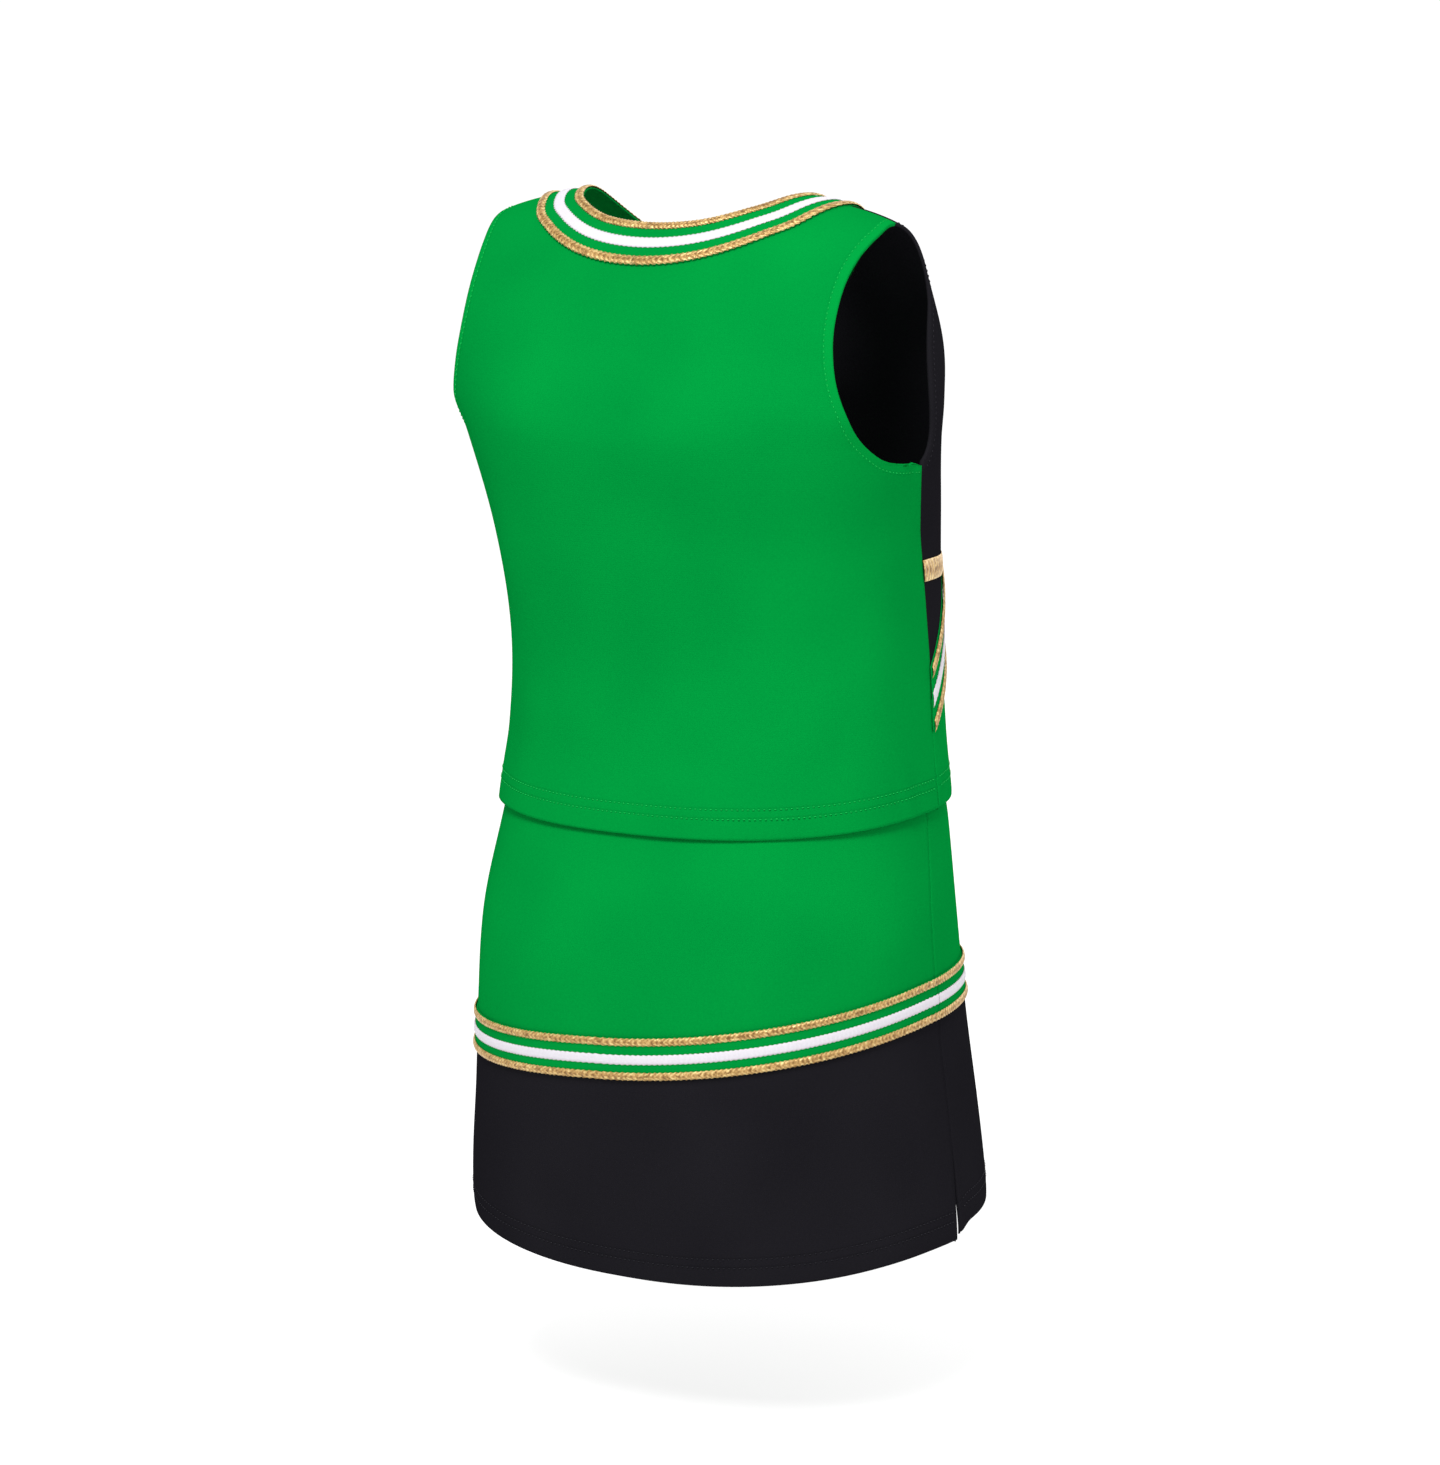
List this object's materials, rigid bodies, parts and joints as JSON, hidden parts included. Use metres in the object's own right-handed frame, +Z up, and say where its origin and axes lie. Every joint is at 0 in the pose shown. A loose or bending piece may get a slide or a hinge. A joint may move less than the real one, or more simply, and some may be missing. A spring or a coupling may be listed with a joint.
{
  "type": "cheerleading uniform",
  "caption": "Green and black sleeveless cheerleading top with gold and white striped bands, over a short straight skirt with a striped hip band and side slits, filled out as if worn.",
  "frame": {"origin": "midway between the neck ends of the two shoulder seams, where the wearer carries the top", "axes": "+Z up, -Y the front of the uniform, +X the wearer's left"},
  "size_m": [0.2862, 0.2503, 0.5762],
  "materials": {
    "green_knit": "matt polyester double knit",
    "black_knit": "matt polyester double knit",
    "gold_lurex": "sparkling woven lurex braid",
    "white_satin": "smooth satin braid",
    "waist_elastic": "ribbed elastic webbing"
  },
  "bodies": {
    "root": {"top_back": "green_knit", "top_front_upper": "black_knit", "top_front_lower": "green_knit", "neck_band": "green_knit", "neck_gold_inner": "gold_lurex", "neck_white": "white_satin", "neck_gold_outer": "gold_lurex", "chevron_band": "green_knit", "chevron_gold_upper": "gold_lurex", "chevron_white": "white_satin", "chevron_gold_lower": "gold_lurex", "gold_band_left": "gold_lurex", "gold_band_right": "gold_lurex", "skirt_yoke_back": "green_knit", "hip_back_band": "green_knit", "hip_back_gold_upper": "gold_lurex", "hip_back_white": "white_satin", "hip_back_gold_lower": "gold_lurex", "skirt_lower_back": "black_knit", "skirt_yoke_front": "green_knit", "hip_front_band": "green_knit", "hip_front_gold_upper": "gold_lurex", "hip_front_white": "white_satin", "hip_front_gold_lower": "gold_lurex", "skirt_lower_front": "black_knit", "skirt_waistband": "waist_elastic"}
  },
  "joints": []
}
